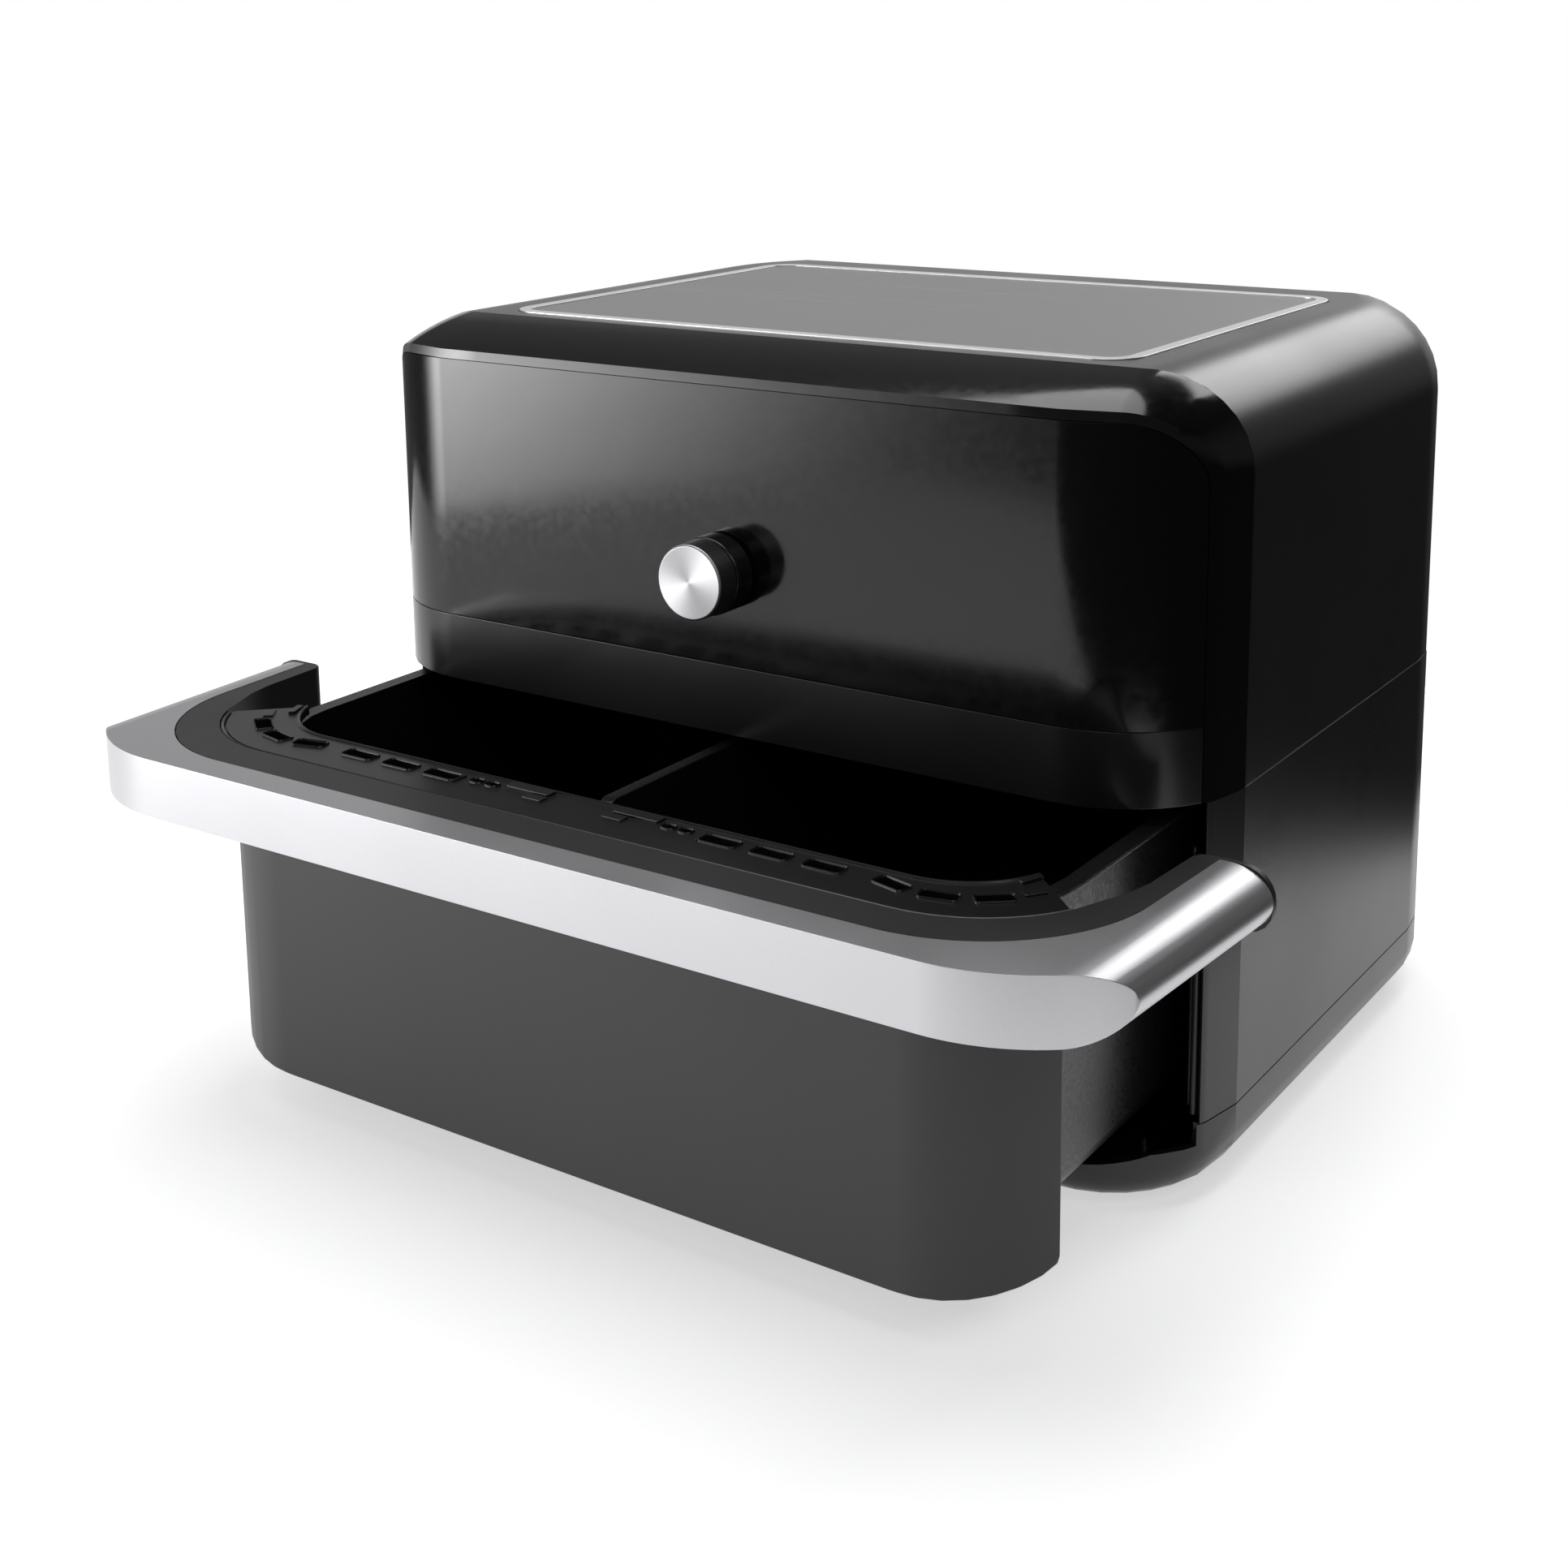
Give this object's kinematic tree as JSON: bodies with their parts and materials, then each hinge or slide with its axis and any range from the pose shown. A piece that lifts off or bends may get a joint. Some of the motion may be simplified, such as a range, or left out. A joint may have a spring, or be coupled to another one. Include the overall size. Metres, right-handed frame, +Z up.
{
  "type": "air fryer",
  "caption": "Air fryer with one wide pull-out drawer split into two cooking zones, a wrap-round handle, a gloss control panel with a push-and-turn dial and a rounded housing.",
  "frame": {"origin": "centre of the footprint of the whole object with its drawer part-way open, on the surface it stands on", "axes": "+X to the right when facing the object's front; +Y from its front to its back; +Z up"},
  "size_m": [0.5044, 0.4946, 0.3324],
  "materials": {
    "housing": "satin black moulded shell",
    "gloss": "polished black",
    "front": "matte dark grey",
    "silver": "satin metallic silver",
    "inlay": "finely brushed dark grey",
    "core": "matte black",
    "coating": "satin black non-stick coating",
    "rubber": "matte black",
    "silicone": "matte grey silicone",
    "board": "green circuit board",
    "steel": "plain sheet and rod"
  },
  "bodies": {
    "body": {"top_housing": "housing", "lower_housing": "housing", "base_tray": "housing", "front_bezel": "gloss", "control_panel": "gloss", "top_trim": "silver", "top_plate": "inlay", "front_band": "core", "rear_cover": "core", "drawer_switch": "core", "encoder_body": "core", "foot_front_left": "rubber", "foot_front_right": "rubber", "foot_rear_left": "rubber", "foot_rear_right": "rubber", "cord_gland": "rubber", "power_board": "board", "control_board": "board", "foot_screw_front_left": "steel", "foot_screw_front_right": "steel", "foot_screw_rear_left": "steel", "foot_screw_rear_right": "steel", "rear_screw_lower_left": "steel", "rear_screw_lower_right": "steel", "rear_screw_upper_left": "steel", "rear_screw_upper_right": "steel", "slide_rail_left": "steel", "slide_rail_right": "steel", "cooking_liner": "steel", "chassis_plate": "steel", "heater_left": "steel", "heater_right": "steel", "heater_guard_left": "steel", "heater_guard_right": "steel", "motor_left": "steel", "motor_right": "steel", "temperature_sensor_left": "steel", "temperature_sensor_right": "steel", "thermal_fuse": "steel"},
    "drawer": {"drawer_front": "front", "handle_cover": "silver", "handle_core": "core", "rim_insert": "core", "basket": "coating", "divider": "coating", "divider_seal": "silicone", "drawer_magnet": "steel"},
    "crisper_left": {"crisper_plate_left": "coating"},
    "crisper_right": {"crisper_plate_right": "coating"},
    "fan_rotor_left": {"fan_left": "steel", "fan_shaft_left": "steel", "cooling_fan_left": "steel"},
    "fan_rotor_right": {"fan_right": "steel", "fan_shaft_right": "steel", "cooling_fan_right": "steel"},
    "dial_rotor": {"encoder_rotor": "steel"},
    "dial_knob": {"encoder_shaft": "steel", "knob_skirt": "core", "knob_cap": "silver"}
  },
  "joints": [
    {"name": "drawer_slide", "type": "slide", "parent": "body", "child": "drawer", "axis": [0, -1, 0], "range_m": [-0.1144, 0.085]},
    {"name": "crisper_lift_left", "type": "slide", "parent": "drawer", "child": "crisper_left", "axis": [0, 0, 1], "range_m": [0, 0.1]},
    {"name": "crisper_lift_right", "type": "slide", "parent": "drawer", "child": "crisper_right", "axis": [0, 0, 1], "range_m": [0, 0.1]},
    {"name": "fan_spin_left", "type": "hinge", "parent": "body", "child": "fan_rotor_left", "pos_m": [-0.092, 0.0633, 0.203], "axis": [0, 0, 1], "continuous": true},
    {"name": "fan_spin_right", "type": "hinge", "parent": "body", "child": "fan_rotor_right", "pos_m": [0.092, 0.0633, 0.203], "axis": [0, 0, 1], "continuous": true},
    {"name": "dial_turn", "type": "hinge", "parent": "body", "child": "dial_rotor", "pos_m": [0, -0.1067, 0.2386], "axis": [0, 1, 0], "continuous": true},
    {"name": "dial_push", "type": "slide", "parent": "dial_rotor", "child": "dial_knob", "axis": [0, 1, 0], "range_m": [0, 0.001], "stiffness_N_per_m": 1500, "springref_m": -0.002}
  ]
}
